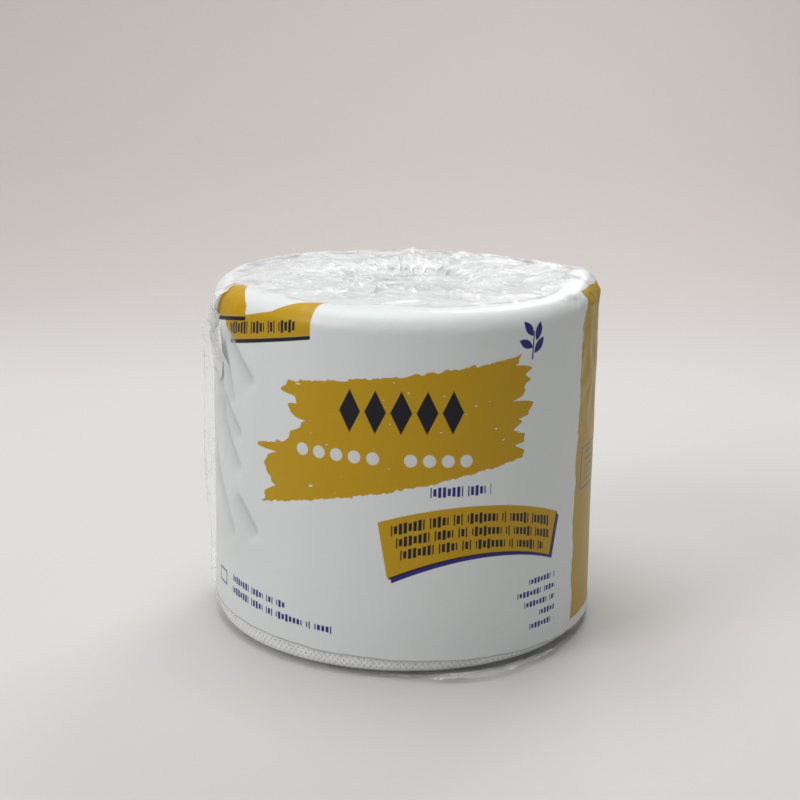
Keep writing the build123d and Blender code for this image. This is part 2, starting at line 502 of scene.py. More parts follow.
# %% [markdown]
# The wrapper's form
# The real wrapper is a sleeve of film round the side, gathered over both ends
# and pushed into the core. A cloth simulation could gather it, but would take
# minutes and never put a fold where this pack has it. Here its section is
# drawn once, from the middle of the top to the middle of the base, and a grid
# is rolled round it. Each point keeps its distance along the film, which is
# the height on the straight side, so the print runs over the shoulder without
# stretching.

# %% Draw the wrapper's section and roll the grid
WRAPPER_STEPS = 540
TOP_ROW = 0.75
SHOULDER_ROWS = 13
SIDE_ROWS = 76
FOOT_ROWS = 9
BASE_ROWS = 24


def quarter(radius, height, bend_radius, bends):
    """The rows round a quarter bend, about a middle at a radius and a height."""
    return [(radius + bend_radius * cos(bend), height + bend_radius * sin(bend)) for bend in bends]


def wrapper_section():
    """Radius, height and length along the film of each row, from the top's middle down."""
    rows = [(radius, FILM_TOP) for radius in np.arange(0, RIM_RADIUS, TOP_ROW)]
    rows += quarter(RIM_RADIUS, SIDE_TOP, SHOULDER, np.linspace(pi / 2, 0, SHOULDER_ROWS))
    side_row = len(rows) - 1
    side_heights = np.linspace(SIDE_TOP, FOOT_ROUND, SIDE_ROWS)[1:-1]
    rows += [(FILM_RADIUS, height) for height in side_heights]
    foot_bends = np.linspace(0, -pi / 2, FOOT_ROWS)
    rows += quarter(FILM_RADIUS - FOOT_ROUND, FOOT_ROUND, FOOT_ROUND, foot_bends)
    rows += [(radius, 0.0) for radius in np.linspace(FILM_RADIUS - FOOT_ROUND, 0, BASE_ROWS)[1:]]
    lengths = [0.0]
    for (r0, z0), (r1, z1) in zip(rows, rows[1:]):
        lengths.append(lengths[-1] - ((r1 - r0) ** 2 + (z1 - z0) ** 2) ** 0.5)
    shift = SIDE_TOP - lengths[side_row]
    return [(radius, height, length + shift) for (radius, height), length in zip(rows, lengths)]


wrapper, angle, radius, height = rolled_piece("film_wrapper", WRAPPER_STEPS, wrapper_section())
outward = ring_points(angle, 1.0, 0 * angle)
points = ring_points(angle, radius, height)
degrees = np.degrees(angle)
print("rolled film:", len(points), "points")

# %% [markdown]
# Pleats and tucks on the ends
# At the ends the sleeve has far more film than the shrinking circle needs, so
# it lies in sharp pleats that run inwards, with looser folds aslant over them,
# higher at the back. They are single ridges, each a little different, because
# a pattern that repeats would look like a machined part. In the middle the
# film drops into the core as a fluted funnel, and the pressed end of the
# sleeve stands up in it as a knot. At the front the printed film is drawn in
# smoothly, so the folds stay low there. At the right the film stands proud of
# the roll's rim.

# %% Define the pleats and the looser folds
PLEATS = 30
PLEAT_REACH = 46
PLEAT_PEAK = 24
PLEAT_HALF_WIDTH = 2.2
LOOSE_FOLDS = 15
LOOSE_INNER, LOOSE_PEAK, LOOSE_OUTER = 23, 38.5, 49
LOOSE_HALF_WIDTH = 4.6
LOOSE_SLANT = 3.5
VARY = 2.4


def end_folds(places):
    """Height of the pleats and of the looser folds over the film's flat."""
    found = np.zeros(len(places))
    for number in range(PLEATS):
        turned = 2 * pi / PLEATS * (number + 0.3 * sin(VARY * number))
        outer = PLEAT_REACH + 5 * cos(2 * VARY * number)
        pleat = ridge(
            places, turned, inner=MOUTH_RADIUS - 3.2, peak=PLEAT_PEAK, outer=outer,
            half_width=PLEAT_HALF_WIDTH, tall=1.2 + 0.4 * cos(VARY * number), slant=0,
        )
        found = np.maximum(found, pleat)
    for number in range(LOOSE_FOLDS):
        turned = radians(15 + 360 / LOOSE_FOLDS * number)
        fold = ridge(
            places, turned, inner=LOOSE_INNER, peak=LOOSE_PEAK + 5 * cos(VARY * number),
            outer=LOOSE_OUTER, half_width=LOOSE_HALF_WIDTH, tall=1.3 + 0.5 * sin(turned),
            slant=LOOSE_SLANT,
        )
        found = np.maximum(found, fold)
    return found


print("highest fold:", end_folds(points).max().round(2), "mm")

# %% Lift the rim and crumple the film
PROUD_RIM = 3.0
PROUD_AT, PROUD_WIDTH = 87, 29


def rim_lift(angle, radius, height):
    """How far the film's rim stands above the roll's at the right."""
    right = bell(np.degrees(angle), PROUD_AT, PROUD_WIDTH)
    near_rim = ease(radius, RIM_RADIUS - 16, RIM_RADIUS - 1)
    return PROUD_RIM * right * ease(height, SIDE_TOP - 9, SIDE_TOP + 3) * near_rim


slow = waves(points / 17, 4)
warp = np.column_stack([waves(points / 7, 8), waves(points / 7, 9), 0 * radius])
warped = points + 1.1 * warp
crumple = creases(points / (5.5, 5.5, 4), 3)
fine_crumple = creases(warped / 2.4, 13)
print("points on a fine crease:", int((fine_crumple > 0.5).sum()))

# %% Fold the ends and drop the tuck
calm_radius = 47 - 24 * np.exp(-5 * angle**2) + 2 * slow
calm = ease(radius, calm_radius - 2, calm_radius + 2) * ease(np.abs(degrees), 100, 60)

flute = np.abs(((angle + pi / 2) * PLEATS / (2 * pi) + 0.12 * slow) % 1 - 0.5) * 2
funnel = radius + 3.2 * flute
drop = TUCK_DEPTH * ease(funnel, MOUTH_RADIUS + 3.5, 10) - KNOT_RISE * ease(radius, 7, 3)
end_lift = end_folds(warped) + crumple * 0.5 + fine_crumple * 0.14 + 0.25 * slow
end_lift = end_lift * (1 - 0.9 * calm) * ease(radius, 1, 6)
end_lift = end_lift * (1 - 0.8 * ease(radius, MOUTH_RADIUS - 2, 10))

upper = height > 50
on_top = upper * ease(radius, RIM_RADIUS + 4.5, RIM_RADIUS)
on_base = ~upper * ease(radius, FILM_RADIUS - 1, FILM_RADIUS - FOOT_ROUND)
points[:, 2] += on_top * (end_lift - drop) + rim_lift(angle, radius, height)
points[:, 2] += on_base * (drop + end_folds(points) * 0.22)
deepest = FILM_TOP - points[upper, 2].min()
print("tuck depth:", round(float(deepest), 1), "mm")

# %% [markdown]
# Creases and pulls on the side
# Round the side the film is tight and nearly smooth. The gather of the long
# seal, at the upper left, pulls long folds that fan down to the right. Each is
# a steep step on one side and a slow rise on the other, as pulled film has
# it. White film shows such a fold more by its shade than by its shape, so the
# depth of each dip is kept on the points, and the material paints shade into
# it as a darker grey. Over the shoulder and near the right edge small flat
# facets catch the light. A few creases on the top's front are set one by one.

# %% Pull the side
FAN_LINES = [
    (-60.0, 91.0, -45.5, 77.0), (-62.5, 87.0, -55.0, 70.0), (-65.0, 82.0, -61.5, 61.0),
    (-63.0, 72.0, -51.0, 61.5), (-67.0, 71.0, -51.5, 51.0), (-70.0, 53.0, -55.0, 30.5),
    (-53.5, 44.0, -44.5, 34.0), (-60.5, 90.0, -53.5, 84.0), (-73.0, 66.0, -66.5, 40.0),
]
DIP_DEPTH = 1.2
TIGHTEST = -0.35

arc = angle * FILM_RADIUS
dip_depth_and_shade = np.zeros(len(arc))
for line in FAN_LINES:
    dip_depth_and_shade = np.maximum(dip_depth_and_shade, pulled_fold(arc, height, line) * (height < SIDE_TOP + 1))
push = 0.14 * slow + 0.45 * ease(height, 45, 4) - 0.25 * ease(height, 60, 95)
push -= DIP_DEPTH * dip_depth_and_shade

print("points in a pulled fold:", int((dip_depth_and_shade > 0.5).sum()))

# %% Crumple the fan, the right edge, the shoulder and the back
# The fan's base stands off the roll, with long shallow creases in it.
fan_across = ease(degrees, -82, -70) * ease(degrees, -40, -54)
push += 0.8 * fan_across * ease(height, 22, 34) * ease(height, 98, 92)
push -= 0.35 * bell(degrees, 85, 30) * ease(height, 80, 92)
fan_zone = ease(degrees, -104, -86) * ease(degrees, -44, -58)
fan_zone = fan_zone * ease(height, 20, 50) * ease(height, 97, 90)
long_cells = np.column_stack([(arc - 0.25 * height) / 6.5, height / 30, 0 * arc])
push += fan_zone * 0.3 * creases(long_cells, 5)

# Facets lie near the right edge, on the shoulder, at the foot and at the back.
right_zone = ease(degrees, 48, 60) * ease(degrees, 110, 92) * ease(height, 40, 88)
facets = 0.7 * creases(points / (9, 9, 11), 6) + 0.25 * fine_crumple * ease(height, 80, 92)
push += right_zone * facets
on_shoulder = upper * ease(height, SIDE_TOP - 3, SIDE_TOP + 3)
away = 0.2 + 0.8 * ease(np.abs(degrees), 45, 75)
push += on_shoulder * away * (crumple * 0.5 + fine_crumple * 0.15)
at_back = ease(np.abs(degrees), 112, 140)
long_wrinkles = creases(points / (19, 19, 26), 7)
push += ease(height, 9, 3) * crumple * 0.25 + (0.05 + 0.3 * at_back) * long_wrinkles
push += 0.7 * bell(degrees, 88, 25) * ease(height, 75, 45)
push = np.maximum(push, TIGHTEST)
points += outward * ((radius > RIM_RADIUS) * push)[:, None]
print("side pushed out by", push.min().round(2), "to", push.max().round(2), "mm")

# %% Crease the top's front and write the wrapper
TOP_CREASES = [
    (-36.0, 3.0, -24.0, -32.5), (-25.0, -31.5, -17.0, -35.5), (-12.0, -26.0, -3.0, -31.0),
    (7.0, -30.8, 18.0, -29.6), (18.5, -30.0, 20.5, -43.0), (24.0, -33.0, 30.0, -38.0),
    (-7.0, -43.0, 4.0, -37.0),
]
OVER_ROLL = 0.15

for line in TOP_CREASES:
    points[:, 2] += on_top * soft_fold(points[:, 0], points[:, 1], line, width=0.7, tall=0.7)
over_roll = (radius > CORE_RADIUS) & (radius < RIM_RADIUS) & upper
lowest = np.where(over_roll, ROLL_HEAD + OVER_ROLL, 0.0)
points[:, 2] = np.maximum(points[:, 2], lowest)
move_points(wrapper, points)
# The depth of each dip goes on the points, and the material reads it to paint shade there.
wrapper.data.attributes.new("dip_depth_and_shade", "FLOAT", "POINT").data.foreach_set("value", dip_depth_and_shade)
close_piece(wrapper)
print("folded film box:", points.min(0).round(1), points.max(0).round(1))

# %% [markdown]
# Print on the film
# The real film is printed before it is wrapped, in flat inks. A picture could
# be laid over the side, but it would blur close up and need a file. Here the
# print is laid out in millimetres: across is the distance round the pack from
# the front, up is the height. Each mark is a mask, 1 inside and 0 outside,
# made from straight edges, so it stays sharp from any distance.

# %% Define the print masks
SOFT_EDGE = 0.12


def above(tree, value, limit):
    """1 where value is above limit, with a narrow soft edge."""
    return steps(tree, calc(tree, "SUBTRACT", value, limit), -SOFT_EDGE, SOFT_EDGE)


def both(tree, *masks):
    """1 where every mask is 1."""
    found = masks[0]
    for mask in masks[1:]:
        found = calc(tree, "MULTIPLY", found, mask)
    return found


def either(tree, *masks):
    """1 where any mask is 1."""
    found = masks[0]
    for mask in masks[1:]:
        found = calc(tree, "MAXIMUM", found, mask)
    return found


def between(tree, low, value, high):
    """1 where value lies between low and high."""
    return both(tree, above(tree, value, low), above(tree, high, value))


def patch(tree, across, up, corners):
    """A flat patch with straight sides. Its corners go round to the left."""
    sides = []
    for (x0, y0), (x1, y1) in zip(corners, corners[1:] + corners[:1]):
        length = ((x1 - x0) ** 2 + (y1 - y0) ** 2) ** 0.5
        a, b = (y0 - y1) / length, (x1 - x0) / length
        reach = calc(tree, "MULTIPLY_ADD", across, a, calc(tree, "MULTIPLY", up, b))
        sides.append(above(tree, reach, a * x0 + b * y0))
    return both(tree, *sides)


def from_nearest(tree, value, first, pitch):
    """The distance to the nearest of many places, a pitch apart."""
    return calc(tree, "PINGPONG", calc(tree, "SUBTRACT", value, first), pitch / 2)


print("soft edge of a mark:", SOFT_EDGE, "mm")

# %% Define the dashes and the leaves
DASH_PITCH = 1.3
DASH_GAP = 0.20
WIDE_GAP = 0.7
WIDE_PITCHES = (10.4, 16.9)
SHORT_SHARE = 0.36
TALLER_SHARE = 0.14


def dashes(tree, across, up, left, right, level, tall):
    """A row of short dashes of uneven height, with wider gaps here and there."""
    number = calc(tree, "DIVIDE", calc(tree, "SUBTRACT", across, left), DASH_PITCH)
    number = calc(tree, "FLOOR", number)
    noise = add_node(tree, "ShaderNodeTexWhiteNoise", {"W": number}, noise_dimensions="1D")
    taller = steps(tree, noise.outputs["Value"], 0.45, 0.6)
    half = calc(tree, "MULTIPLY_ADD", taller, TALLER_SHARE * tall, SHORT_SHARE * tall)
    gaps = above(tree, from_nearest(tree, across, left, DASH_PITCH), DASH_GAP)
    wide_gaps = [
        above(tree, from_nearest(tree, across, left, pitch), WIDE_GAP) for pitch in WIDE_PITCHES
    ]
    off_line = calc(tree, "ABSOLUTE", calc(tree, "SUBTRACT", up, level))
    row = above(tree, half, off_line)
    return both(tree, gaps, both(tree, *wide_gaps), row, between(tree, left, across, right))


def leaf(tree, across, up, middle, turned, length, width):
    """A pointed leaf round a middle, turned from the level."""
    x = calc(tree, "SUBTRACT", across, middle[0])
    y = calc(tree, "SUBTRACT", up, middle[1])
    out = calc(tree, "MULTIPLY_ADD", x, cos(turned), calc(tree, "MULTIPLY", y, sin(turned)))
    side = calc(tree, "MULTIPLY_ADD", y, cos(turned), calc(tree, "MULTIPLY", x, -sin(turned)))
    bulge = calc(tree, "MULTIPLY", calc(tree, "MULTIPLY", out, out), -2 * width / length**2)
    inside = calc(tree, "SUBTRACT", bulge, calc(tree, "ABSOLUTE", side))
    return above(tree, inside, -width / 2)


print("dash pitch:", DASH_PITCH, "mm")

# %% [markdown]
# Where the white lies
# The white field covers the side. It ends a few millimetres above the base,
# lower at the right, and leaves a clear band there. At the top it runs over
# the shoulder, furthest at the front, where the film is drawn in smoothly, and
# fades out where the crumpled film begins.

# %% Begin the print group with the white field
WHITE = (0.64, 0.665, 0.665, 1.0)
GOLD = (0.45, 0.265, 0.002, 1.0)
VIOLET = (0.02, 0.012, 0.16, 1.0)
BLACK = (0.004, 0.003, 0.008, 1.0)
PALE = (0.60, 0.60, 0.58, 1.0)
PRINT_EDGE_SHADOW = (0.30, 0.31, 0.31, 1.0)
OLIVE = (0.16, 0.16, 0.10, 1.0)
PANEL_GOLD = (0.41, 0.265, 0.03, 1.0)
BAND_HEIGHT = 4.4
BAND_TILT = 2.0
FRONT_REACH = 22.0
EDGE_LINE = 0.3

print_group, start, end = new_group(
    "pack_print",
    [("Place", "NodeSocketVector", None)],
    [("Printed", "NodeSocketFloat"), ("Colour", "NodeSocketColor")],
)
tree = print_group
place = start["Place"]
split = add_node(tree, "ShaderNodeSeparateXYZ", {0: place})
across, up = split.outputs["X"], split.outputs["Y"]
turn = calc(tree, "DIVIDE", across, FILM_RADIUS)
wander = grain(tree, place, 0.12, 3.0)
lower_edge = calc(tree, "MULTIPLY_ADD", calc(tree, "SINE", turn), -BAND_TILT, BAND_HEIGHT)
lower_edge = calc(tree, "MULTIPLY_ADD", wander, 1.4, lower_edge)
turn_squared = calc(tree, "MULTIPLY", turn, turn)
at_front = calc(tree, "EXPONENT", calc(tree, "MULTIPLY", turn_squared, -5.0))
upper_edge = calc(tree, "MULTIPLY_ADD", at_front, FRONT_REACH, RIM_ALONG - 3.0)
upper_edge = calc(tree, "MULTIPLY_ADD", wander, 11.0, upper_edge)
faded = steps(tree, calc(tree, "SUBTRACT", upper_edge, up), -4.0, 3.0)
tree.links.new(both(tree, above(tree, up, lower_edge), faded), end["Printed"])
# A thin grey line along the white's lower edge is a painted shadow at the print's edge.
edge_line = above(tree, up, calc(tree, "ADD", lower_edge, EDGE_LINE))
marks = [(calc(tree, "SUBTRACT", 1.0, edge_line), PRINT_EDGE_SHADOW)]
print("white field: from about", BAND_HEIGHT, "mm up to", round(RIM_ALONG, 1), "mm")

# %% [markdown]
# The marks
# Two dry strokes of a gold brush carry a row of black diamonds and a row of
# pale discs. Below them come a violet dash line, a bent gold banner with a
# violet shadow, and short dark lines at the left and right. A gold tag sits at
# the top left, a leaf sprig at the top right, and a gold panel on the right
# side. Each mark has a place, a size and a colour, and lies over those before
# it, as inks do.

# %% Add the brush strokes
# A brush runs dry at its ends in round lobes, and leaves flecks bare.
LOBE = 5.0
speck = grain(tree, place, 0.5, 3.0)
streak = grain(tree, scaled(tree, place, (0.05, 0.25, 1)), 1.0, 0.4)
lobe_turn = calc(tree, "MULTIPLY_ADD", streak, 7.0, calc(tree, "MULTIPLY", up, 0.36))
lobes = calc(tree, "ABSOLUTE", calc(tree, "SINE", lobe_turn))
ragged = calc(tree, "MULTIPLY_ADD", streak, 12.0, calc(tree, "ADD", across, -6.0))
left_end = calc(tree, "MULTIPLY_ADD", lobes, LOBE, ragged)
right_end = calc(tree, "MULTIPLY_ADD", lobes, -LOBE, ragged)
uneven = calc(tree, "MULTIPLY_ADD", speck, 2.4, up)


def stroke(left, right, low, high, slope):
    """A brush stroke from left to right, rising by its slope, with lobed ends."""
    slanted = calc(tree, "MULTIPLY_ADD", across, -slope, uneven)
    ends = both(tree, above(tree, left_end, left), above(tree, right, right_end))
    return both(tree, ends, between(tree, low, slanted, high))


upper_stroke = stroke(-28.5, 31.0, 65.0, 86.0, slope=0.12)
lower_stroke = stroke(-37.0, 29.0, 55.0, 72.0, slope=0.20)
bare = grain(tree, scaled(tree, place, (0.45, 0.9, 1)), 1.0, 2.0)
inked = steps(tree, bare, 0.265, 0.285)
marks.append((both(tree, either(tree, upper_stroke, lower_stroke), inked), GOLD))
print("marks so far:", len(marks))

# %% Add the diamonds, the discs and the violet line
DIAMOND_LEVEL, DIAMOND_HALF, DIAMOND_PITCH = 74.8, 2.9, 6.9
DISC_LEVEL, DISC_RADIUS, DISC_PITCH = 61.9, 1.75, 5.03

diamond_side = from_nearest(tree, across, -0.8, DIAMOND_PITCH)
diamond_rise = calc(tree, "ABSOLUTE", calc(tree, "SUBTRACT", up, DIAMOND_LEVEL))
diamond_edge = calc(tree, "MULTIPLY_ADD", diamond_rise, 0.49, diamond_side)
diamond = above(tree, calc(tree, "SUBTRACT", DIAMOND_HALF, diamond_edge), 0.0)
marks.append((both(tree, diamond, between(tree, -18.0, across, 16.4)), BLACK))

disc_side = from_nearest(tree, across, -28.3, DISC_PITCH)
disc_rise = calc(tree, "MULTIPLY_ADD", across, 0.027, up)
disc_rise = calc(tree, "SUBTRACT", disc_rise, DISC_LEVEL)
disc_rise_squared = calc(tree, "MULTIPLY", disc_rise, disc_rise)
disc_reach = calc(tree, "MULTIPLY_ADD", disc_side, disc_side, disc_rise_squared)
disc = above(tree, DISC_RADIUS, calc(tree, "SQRT", disc_reach))
disc_row = between(tree, -31.0, across, 19.0)
disc_row = calc(tree, "SUBTRACT", disc_row, between(tree, -5.6, across, -0.6))
marks.append((both(tree, disc, disc_row), PALE))
marks.append((dashes(tree, across, up, 6.6, 24.4, level=53.0, tall=2.9), VIOLET))
print("marks so far:", len(marks))

# %% Add the banner
BANNER_ENDS = [(-3.5, 27.0), (45.6, 27.0), (50.7, 49.0), (-7.4, 49.0)]
BANNER_TOP, BANNER_FOOT = 48.6, 34.9
BANNER_LINES = [(45.2, -3.7, 45.3, 3.1), (41.4, -2.3, 45.6, 2.8), (37.7, -1.1, 43.6, 2.8)]


def banner(shift_right, shift_down):
    """A strip bent like a low arch, moved by a shift, and the places on it."""
    x = calc(tree, "SUBTRACT", across, shift_right)
    y = calc(tree, "ADD", up, shift_down)
    arch, hollow = (calc(tree, "SUBTRACT", x, middle) for middle in (18.0, 22.5))
    bent_up = calc(tree, "MULTIPLY_ADD", calc(tree, "MULTIPLY", arch, arch), 0.0067, y)
    foot = calc(tree, "MULTIPLY_ADD", calc(tree, "MULTIPLY", hollow, hollow), 0.0088, y)
    rims = both(tree, above(tree, BANNER_TOP, bent_up), above(tree, foot, BANNER_FOOT))
    return both(tree, patch(tree, x, y, BANNER_ENDS), rims), x, bent_up


marks.append((banner(1.2, 1.3)[0], VIOLET))
marks.append((banner(0.45, 0.35)[0], BLACK))
strip, strip_across, strip_up = banner(0.0, 0.0)
marks.append((strip, GOLD))
for level, left, right, tall in BANNER_LINES:
    marks.append((dashes(tree, strip_across, strip_up, left, right, level, tall), BLACK))
print("marks so far:", len(marks))

# %% Add the small lines
RIGHT_LINES = [(23.6, 37.6), (20.3, 33.4), (17.0, 36.0), (13.7, 42.0), (10.3, 38.2)]
BOX_RIM = [(-68.0, 13.9), (-62.2, 13.9), (-62.2, 18.3), (-68.0, 18.3)]
BOX_INSIDE = [(-67.5, 14.4), (-62.7, 14.4), (-62.7, 17.8), (-67.5, 17.8)]

for level, left in RIGHT_LINES:
    marks.append((dashes(tree, across, up, left, 49.4, level, tall=1.7), VIOLET))
falling = calc(tree, "MULTIPLY_ADD", across, 0.05, up)
marks.append((dashes(tree, across, falling, -58.5, -33.7, level=14.9, tall=2.1), VIOLET))
marks.append((dashes(tree, across, falling, -58.6, -19.0, level=11.4, tall=2.2), VIOLET))
marks.append((patch(tree, across, up, BOX_RIM), VIOLET))
marks.append((patch(tree, across, up, BOX_INSIDE), WHITE))
print("marks so far:", len(marks))

# %% Add the tag with its folded end, and the sprig
TAG_SHADOW = [(-58.4, 86.8), (-26.1, 92.7), (-26.1, 93.8), (-59.0, 88.0)]
TAG_LEFT = [(-58.6, 87.9), (-39.4, 91.4), (-39.4, 98.8), (-60.4, 93.3)]
TAG_RIGHT = [(-39.8, 91.3), (-26.1, 93.8), (-26.2, 108.0), (-39.8, 98.7)]
FLAP_SHADOW = [(-66.0, 92.0), (-49.5, 94.6), (-49.6, 95.8), (-66.0, 93.2)]
FLAP = [(-68.0, 93.0), (-49.6, 95.7), (-50.8, 98.7), (-58.5, 103.2), (-65.5, 106.3), (-72.0, 104.0)]
LEAVES = [((35.2, 95.6), 2.2), ((38.6, 94.6), 1.3), ((34.4, 91.6), 2.7), ((38.9, 90.9), 0.9)]
STALK = [(36.4, 87.2), (36.9, 87.2), (37.2, 94.8), (36.8, 94.8)]

tag = either(tree, patch(tree, across, up, TAG_LEFT), patch(tree, across, up, TAG_RIGHT))
marks.append((patch(tree, across, up, TAG_SHADOW), BLACK))
marks.append((tag, GOLD))
marks.append((patch(tree, across, up, FLAP_SHADOW), BLACK))
marks.append((patch(tree, across, up, FLAP), GOLD))
rising = calc(tree, "MULTIPLY_ADD", across, -0.17, up)
marks.append((dashes(tree, across, rising, -58.0, -31.0, level=101.1, tall=3.4), BLACK))
for middle, turned in LEAVES:
    marks.append((leaf(tree, across, up, middle, turned, length=5.2, width=2.3), VIOLET))
marks.append((patch(tree, across, up, STALK), VIOLET))
print("marks so far:", len(marks))

# %% Add the side panel and lay all the marks over the white
over_bend = calc(tree, "MAXIMUM", calc(tree, "SUBTRACT", up, SIDE_TOP - 3), 0.0)
wavy_across = calc(tree, "MULTIPLY_ADD", wander, 3.0, across)
panel_across = calc(tree, "MULTIPLY_ADD", over_bend, -0.5, wavy_across)
panel_up = calc(tree, "MULTIPLY_ADD", across, 0.12, up)
panel_ends = both(tree, above(tree, up, 6.4), above(tree, 109.3, panel_up))
marks.append((both(tree, between(tree, 60.5, panel_across, 104.0), panel_ends), PANEL_GOLD))
for left, right, low, high, ink in (
    (62.4, 101.0, 44.4, 57.3, OLIVE), (63.2, 100.2, 45.1, 56.6, PANEL_GOLD),
):
    box = both(tree, between(tree, left, across, right), between(tree, low, up, high))
    marks.append((box, ink))
for number in range(5):
    level = 46.8 + 2.1 * number
    marks.append((dashes(tree, across, up, 65.0, 98.0, level, tall=1.1), OLIVE))

print_colour = WHITE
for mask, ink in marks:
    print_colour = blend_colours(tree, mask, print_colour, ink)
tree.links.new(print_colour, end["Colour"])
print("print marks:", len(marks), "nodes:", len(tree.nodes))

# %% [markdown]
# Clear film
# Real film lets most light straight through and mirrors a little. Glass with
# bent light would be true, but slow, and grey where many layers lie over each
# other. A faint mirror does as well: a slightly metallic skin that is mostly
# transparent. Where the film is crumpled it lies in several layers, and there
# it turns milky white. Thin long lines are the sharp folds, darkened towards
# grey as painted shade in the creases. One group makes these patterns for every piece of film.


# %% Build the crinkle group
def build_crinkle():
    """A group that gives the relief, the milky haze and the fold lines of crinkled film."""
    group, start, end = new_group(
        "film_crinkle",
        [("Place", "NodeSocketVector", None), ("Size", "NodeSocketFloat", 5.0)],
        [("Height", "NodeSocketFloat"), ("Haze", "NodeSocketFloat"), ("Lines", "NodeSocketFloat")],
    )
    place = start["Place"]
    per_fold = calc(group, "DIVIDE", 1.0, start["Size"])

    def folds(factor):
        """0 along winding lines, rising on both sides of them."""
        bend = grain(group, place, calc(group, "MULTIPLY", per_fold, factor), 2.0)
        return calc(group, "ABSOLUTE", calc(group, "SUBTRACT", bend, 0.5))

    cells = {"Vector": place, "Scale": per_fold}
    facets = add_node(group, "ShaderNodeTexVoronoi", cells, feature="DISTANCE_TO_EDGE")
    long_fold, short_fold = folds(0.8), folds(2.2)
    relief = steps(group, long_fold, 0.05, 0.0)
    relief = calc(group, "MULTIPLY_ADD", relief, 0.5, facets.outputs["Distance"])
    relief = calc(group, "MULTIPLY_ADD", steps(group, short_fold, 0.06, 0.0), 0.2, relief)
    cloud = grain(group, place, calc(group, "MULTIPLY", per_fold, 0.6), 3.0)
    short_lines = calc(group, "MULTIPLY", steps(group, short_fold, 0.02, 0.0), 0.5)
    lines = calc(group, "MAXIMUM", steps(group, long_fold, 0.016, 0.0), short_lines)
    group.links.new(relief, end["Height"])
    group.links.new(steps(group, cloud, 0.40, 0.68), end["Haze"])
    group.links.new(lines, end["Lines"])
    return group


crinkle_group = build_crinkle()
print("crinkle group:", len(crinkle_group.nodes), "nodes")

# %% Name what makes one film differ from another
# Clear and milky are how much the film hides, mirror is how metallic it is,
# fold_size and dent_depth are in millimetres, and the last sets how much shade is painted on the
# fold lines.
FilmLook = namedtuple("FilmLook", "clear milky mirror fold_size dent_depth line_tone")
FILM_CLEAR = (0.89, 0.90, 0.905, 1.0)
# This grey is the shade painted into the film's fold lines and dips.
FILM_PAINTED_SHADE = (0.42, 0.43, 0.44, 1.0)
print("fold edges are", round(1 - FILM_PAINTED_SHADE[0] / FILM_CLEAR[0], 2), "darker than the film")


# %% Lay the print over the film
INK_ROUGHNESS = 0.38
PAINTED_DIP_SHADE = 0.64


def mouth_layers_and_shade(tree):
    """1 over the mouth of the tuck, and 0 well away from it."""
    inputs = {0: scaled(tree, object_place(tree), (0.6, 1, 0))}
    from_axis = add_node(tree, "ShaderNodeVectorMath", inputs, operation="LENGTH")
    return steps(tree, from_axis.outputs["Value"], 24.0, 13.0)


def add_print(tree, skin):
    """Lays the print over the skin of clear film, and paints shade into the folds that dip."""
    sheet = add_node(tree, "ShaderNodeUVMap", uv_map="print_mm").outputs[0]
    up = add_node(tree, "ShaderNodeSeparateXYZ", {0: sheet}).outputs["Y"]
    in_tuck = steps(tree, up, RIM_ALONG + RIM_RADIUS - 25, RIM_ALONG + RIM_RADIUS - 14)
    on_end = either(tree, steps(tree, up, SIDE_TOP, RIM_ALONG), steps(tree, up, 2.0, -3.0))
    ink = use_group(tree, print_group, {"Place": sheet})
    printed = ink.outputs["Printed"]
    bare = calc(tree, "SUBTRACT", 1.0, printed)
    off_foot = calc(tree, "MULTIPLY_ADD", steps(tree, up, 2.0, 12.0), 0.82, 0.18)
    alpha = calc(tree, "MULTIPLY", skin["Alpha"], off_foot)
    alpha = calc(tree, "MULTIPLY_ADD", in_tuck, 0.30, alpha)
    to_ink = calc(tree, "SUBTRACT", INK_ROUGHNESS, skin["Roughness"])
    less_on_ink = calc(tree, "MULTIPLY_ADD", bare, 0.92, 0.08)
    less_on_side = calc(tree, "MULTIPLY_ADD", on_end, 0.8, 0.2)
    colour = blend_colours(tree, bare, ink.outputs["Colour"], skin["Base Color"])
    # Painted shade: each dip on the side is darkened towards grey by its depth.
    dip_depth_and_shade = add_node(tree, "ShaderNodeAttribute", attribute_name="dip_depth_and_shade").outputs["Fac"]
    shade = calc(tree, "MULTIPLY", dip_depth_and_shade, PAINTED_DIP_SHADE)
    return {
        "Base Color": blend_colours(tree, shade, colour, FILM_PAINTED_SHADE),
        "Alpha": calc(tree, "MAXIMUM", printed, alpha),
        "Metallic": calc(tree, "MULTIPLY", skin["Metallic"], bare),
        "Roughness": calc(tree, "MULTIPLY_ADD", printed, to_ink, skin["Roughness"]),
    }, both(tree, less_on_ink, less_on_side)


print("print layer: ink roughness", INK_ROUGHNESS, "and dip shade", PAINTED_DIP_SHADE)


